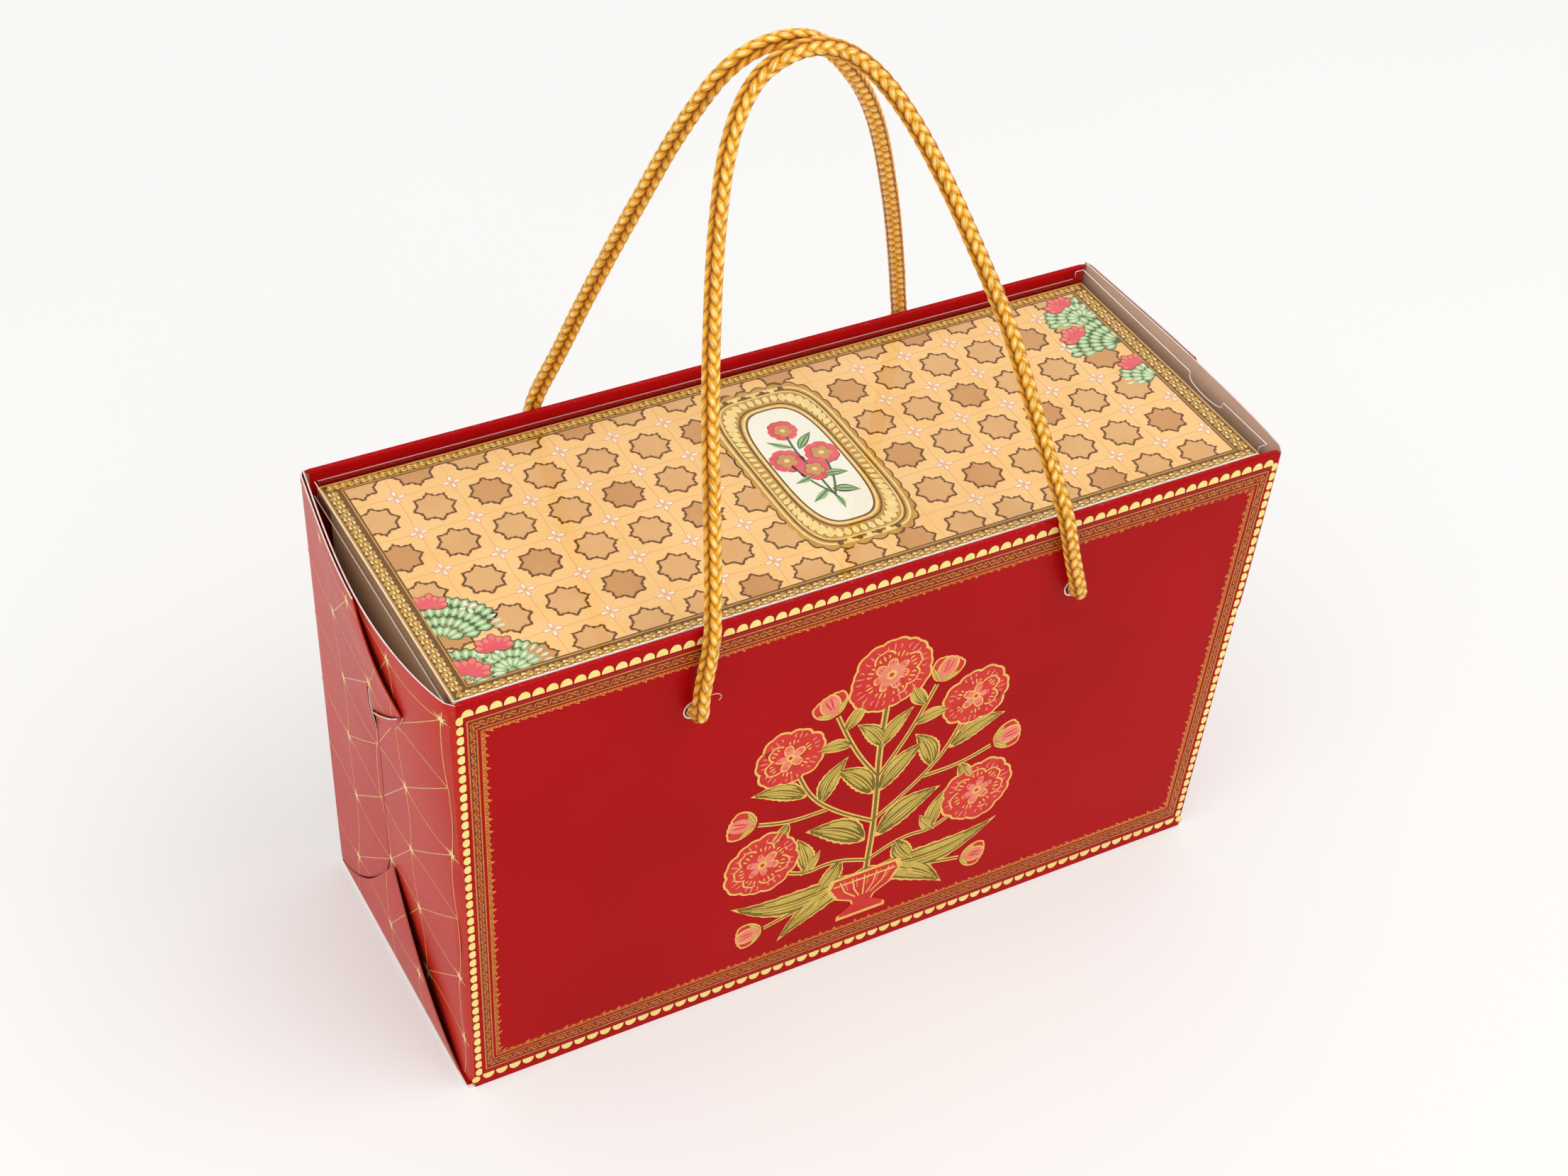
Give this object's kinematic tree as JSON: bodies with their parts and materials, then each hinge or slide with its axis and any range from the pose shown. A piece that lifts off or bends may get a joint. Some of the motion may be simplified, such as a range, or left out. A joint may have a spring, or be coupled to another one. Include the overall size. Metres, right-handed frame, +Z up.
{
  "type": "carrier gift hamper box",
  "caption": "Tapered folded-board carrier with cord handles and hook-locked ends, holding a lidded inner box under a clear cover.",
  "frame": {"origin": "on the table, under the middle of the box's bounding box without its cords", "axes": "+X to the right along the long side, +Y from the printed front to the back, +Z up"},
  "size_m": [0.3177, 0.139, 0.3445],
  "materials": {
    "red_board": "satin printed board",
    "beige_board": "matt uncoated board",
    "printed_card": "gloss printed card",
    "clear_film": "clear gloss",
    "gold_cord": "braided silky cord"
  },
  "bodies": {
    "carrier": {"carrier_base": "red_board", "carrier_front_panel": "red_board", "carrier_back_panel": "red_board", "front_top_hem": "red_board", "back_top_hem": "red_board", "left_front_flap": "red_board", "right_front_flap": "red_board", "front_left_knot": "gold_cord", "front_right_knot": "gold_cord", "back_left_knot": "gold_cord", "back_right_knot": "gold_cord"},
    "front_handle": {"front_handle_cord": "gold_cord"},
    "back_handle": {"back_handle_cord": "gold_cord"},
    "left_outer_flap": {"left_back_flap": "red_board"},
    "right_outer_flap": {"right_back_flap": "red_board"},
    "left_lower_flap": {"left_base_flap": "red_board"},
    "right_lower_flap": {"right_base_flap": "red_board"},
    "inner_box": {"inner_box_floor": "beige_board", "inner_box_front_wall": "beige_board", "inner_box_back_wall": "beige_board", "inner_box_left_wall": "beige_board", "inner_box_right_wall": "beige_board"},
    "lid": {"printed_lid": "printed_card", "lid_frame": "beige_board"},
    "cover": {"clear_cover": "clear_film"}
  },
  "joints": [
    {"name": "front_handle_swing", "type": "hinge", "parent": "carrier", "child": "front_handle", "pos_m": [0.00257, -0.06104, 0.1495], "axis": [1, 0, 0], "range_deg": [0, 150], "deforming": ["front_handle_cord"]},
    {"name": "back_handle_swing", "type": "hinge", "parent": "carrier", "child": "back_handle", "pos_m": [0.00257, 0.06104, 0.1495], "axis": [-1, 0, 0], "range_deg": [0, 150], "deforming": ["back_handle_cord"]},
    {"name": "left_back_flap_fold", "type": "hinge", "parent": "carrier", "child": "left_outer_flap", "pos_m": [-0.14613, 0.059, 0], "axis": [0.0273, -0.0137, -0.9995], "range_deg": [0, 90]},
    {"name": "right_back_flap_fold", "type": "hinge", "parent": "carrier", "child": "right_outer_flap", "pos_m": [0.15127, 0.059, 0], "axis": [0.0273, 0.0137, 0.9995], "range_deg": [0, 90]},
    {"name": "left_base_flap_fold", "type": "hinge", "parent": "carrier", "child": "left_lower_flap", "pos_m": [-0.14613, 0, 0], "axis": [0, -1, 0], "range_deg": [0, 82]},
    {"name": "right_base_flap_fold", "type": "hinge", "parent": "carrier", "child": "right_lower_flap", "pos_m": [0.15127, 0, 0], "axis": [0, 1, 0], "range_deg": [0, 82]},
    {"name": "inner_box_lift", "type": "slide", "parent": "carrier", "child": "inner_box", "axis": [0, 0, 1], "range_m": [0, 0.36]},
    {"name": "printed_lid_lift", "type": "slide", "parent": "inner_box", "child": "lid", "axis": [0, 0, 1], "range_m": [0, 0.19]},
    {"name": "clear_cover_lift", "type": "slide", "parent": "lid", "child": "cover", "axis": [0, 0, 1], "range_m": [0, 0.19]}
  ]
}
